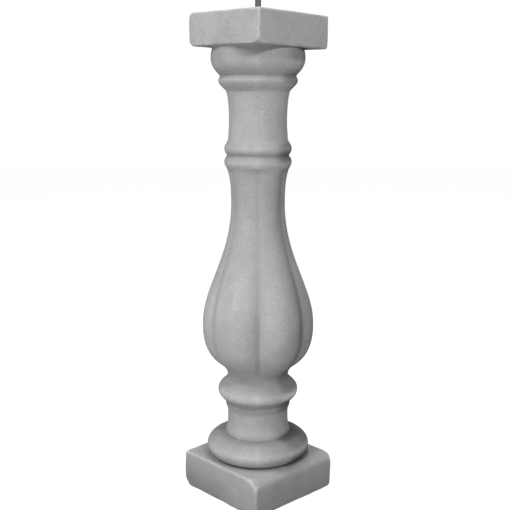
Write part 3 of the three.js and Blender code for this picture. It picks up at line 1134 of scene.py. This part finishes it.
class BALUSTER_OT_set_bar(bpy.types.Operator):
    """Cut the steel bar, grind its end and set it in the head"""

    bl_idname = "baluster.set_bar"
    bl_label = "Set the Bar"

    def execute(self, context):
        bar = context.scene.baluster_bar
        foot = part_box("dowel_bar")[0].z
        radius = bar.diameter / 2
        ground = bar.chamfer
        rise = bar.embedded + bar.projection
        profile = [(radius - ground / 2, 0.0), (radius, ground / 2)]
        profile += [(radius, rise * i / BAR_RINGS) for i in range(1, BAR_RINGS)]
        profile += [(radius, rise - ground), (radius - ground * GROUND_OUT, rise - ground * GROUND_DOWN)]
        profile += [(radius - ground, rise)]
        shape = bmesh.new()
        rings = []
        for out, up in profile:
            ring = []
            for k in range(BAR_SIDES):
                turn = math.tau * k / BAR_SIDES
                reach = out - DRAWN_DEPTH * (1 + math.sin(DRAWN_ROUND * turn + DRAWN_ALONG * up))
                place = (reach * math.cos(turn), reach * math.sin(turn), foot + up)
                ring.append(shape.verts.new(place))
            rings.append(ring)
        for low, high in zip(rings, rings[1:]):
            for k in range(BAR_SIDES):
                after = (k + 1) % BAR_SIDES
                shape.faces.new((low[k], low[after], high[after], high[k]))
        shape.faces.new(list(reversed(rings[0])))
        shape.faces.new(rings[-1])
        for face in shape.faces:
            face.smooth = len(face.verts) == 4
        mesh = bpy.data.meshes.new("head_bar")
        shape.to_mesh(mesh)
        shape.free()
        piece = mesh_piece("head_bar", mesh, steel_material(context.scene.baluster_finish))
        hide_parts("dowel_bar")
        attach(piece, "root")
        return {"FINISHED"}


# Stage


def disc(name, radius, sides=96):
    mesh = bpy.data.meshes.new(name)
    turns = [math.tau * k / sides for k in range(sides)]
    rim = [(radius * math.cos(turn), radius * math.sin(turn), 0.0) for turn in turns]
    mesh.from_pydata(rim, [], [list(range(sides))])
    return mesh


def globe(name, radius, sides=64, rows=24):
    """A sphere that faces inwards, seen all round behind the object."""
    shape = bmesh.new()
    bmesh.ops.create_uvsphere(shape, u_segments=sides, v_segments=rows, radius=radius)
    bmesh.ops.reverse_faces(shape, faces=shape.faces)
    mesh = bpy.data.meshes.new(name)
    shape.to_mesh(mesh)
    shape.free()
    return mesh


def unlit_by(obj):
    """The sheet is seen, and takes shadows, and throws no light or shade on the object."""
    obj.visible_diffuse = False
    obj.visible_glossy = False
    obj.visible_shadow = False


def soft_light(name, size, watts, place):
    """A round lamp that points at the baluster's middle."""
    data = bpy.data.lights.new(name, "AREA")
    data.shape = "DISK"
    data.size = size
    data.energy = watts
    lamp = link(bpy.data.objects.new(name, data))
    lamp.location = place
    lamp.rotation_euler = (MIDDLE - place).to_track_quat("-Z", "Y").to_euler()


# The camera: its heading, its place as seen from itself, and how far down and to the left it looks
HEADING = math.radians(46.4)
CAMERA_PLACE = (0.0, -1.1452, 0.5493)
CAMERA_DOWN = 0.178
CAMERA_LEFT = 0.0036

# The lights: the size of each and its place as seen from the camera; all of them point at the middle
MIDDLE = Vector((0.0, 0.0, 0.36))
LIGHTS = {
    "key": (0.54, (-0.866, -0.5, 1.4)),
    "top": (0.62, (0.0, 0.0, 2.0)),
    "low": (0.38, (-0.423, -0.906, 0.15)),
    "side": (0.16, (0.38, -0.816, 1.1)),
}

# The stage's radius, and how strongly its sheets glow
STAGE_RADIUS = 7.0
FLOOR_GLOW = 0.92
BACKDROP_GLOW = 0.94


def seen_from_camera(x, away, up):
    """A place given to the camera's right, away from it past the baluster's axis, and up, in metres."""
    return Matrix.Rotation(HEADING, 3, "Z") @ Vector((x, away, up))


class BALUSTER_OT_set_stage(bpy.types.Operator):
    """Lay the pale floor, hang the lights and place the camera"""

    bl_idname = "baluster.set_stage"
    bl_label = "Set the Stage"

    def execute(self, context):
        stage = context.scene.baluster_stage
        finish = context.scene.baluster_finish
        floor = mesh_piece("floor", disc("floor", STAGE_RADIUS), pale_material(finish, FLOOR_GLOW))
        shell = globe("backdrop", STAGE_RADIUS)
        backdrop = mesh_piece("backdrop", shell, pale_material(finish, BACKDROP_GLOW))
        for sheet in (floor, backdrop):
            unlit_by(sheet)
        for name, (size, place) in LIGHTS.items():
            watts = getattr(stage, f"{name}_power")
            soft_light(f"{name} light", size, watts, seen_from_camera(*place))
        world = bpy.data.worlds.new("surround")
        world.use_nodes = True
        air = world.node_tree.nodes["Background"].inputs
        air["Strength"].default_value = stage.surround
        air["Color"].default_value = (1.0, 1.0, 1.0, 1.0)
        context.scene.world = world
        context.scene.view_settings.view_transform = "Standard"
        data = bpy.data.cameras.new("camera")
        data.lens = stage.focal_length
        data.sensor_width = 36.0
        camera = link(bpy.data.objects.new("camera", data))
        camera.location = seen_from_camera(*CAMERA_PLACE)
        camera.rotation_euler = (math.pi / 2 - CAMERA_DOWN, 0.0, HEADING + CAMERA_LEFT)
        context.scene.camera = camera
        return {"FINISHED"}


class BALUSTER_PT_panel(bpy.types.Panel):
    """The baluster's settings and steps."""

    bl_idname = "BALUSTER_PT_panel"
    bl_label = "Cast Baluster"
    bl_space_type = "VIEW_3D"
    bl_region_type = "UI"
    bl_category = "Baluster"

    def draw(self, context):
        for settings in GROUPS:
            box = self.layout.box()
            values = getattr(context.scene, settings)
            for name in values.__annotations__:
                box.prop(values, name)
        for operator in STEPS:
            self.layout.operator(operator.bl_idname)


GROUPS = {
    "baluster_stone": BALUSTER_PG_stone,
    "baluster_bar": BALUSTER_PG_bar,
    "baluster_finish": BALUSTER_PG_finish,
    "baluster_stage": BALUSTER_PG_stage,
}
STEPS = (BALUSTER_OT_cast_stone, BALUSTER_OT_set_bar, BALUSTER_OT_set_stage)


def register():
    for kind in (*GROUPS.values(), *STEPS, BALUSTER_PT_panel):
        bpy.utils.register_class(kind)
    for name, kind in GROUPS.items():
        setattr(bpy.types.Scene, name, bpy.props.PointerProperty(type=kind))


def unregister():
    for name in GROUPS:
        delattr(bpy.types.Scene, name)
    for kind in reversed((*GROUPS.values(), *STEPS, BALUSTER_PT_panel)):
        bpy.utils.unregister_class(kind)


def main():
    register()
    bpy.ops.baluster.cast_stone()
    bpy.ops.baluster.set_bar()
    bpy.ops.baluster.set_stage()


if __name__ == "__main__":
    main()
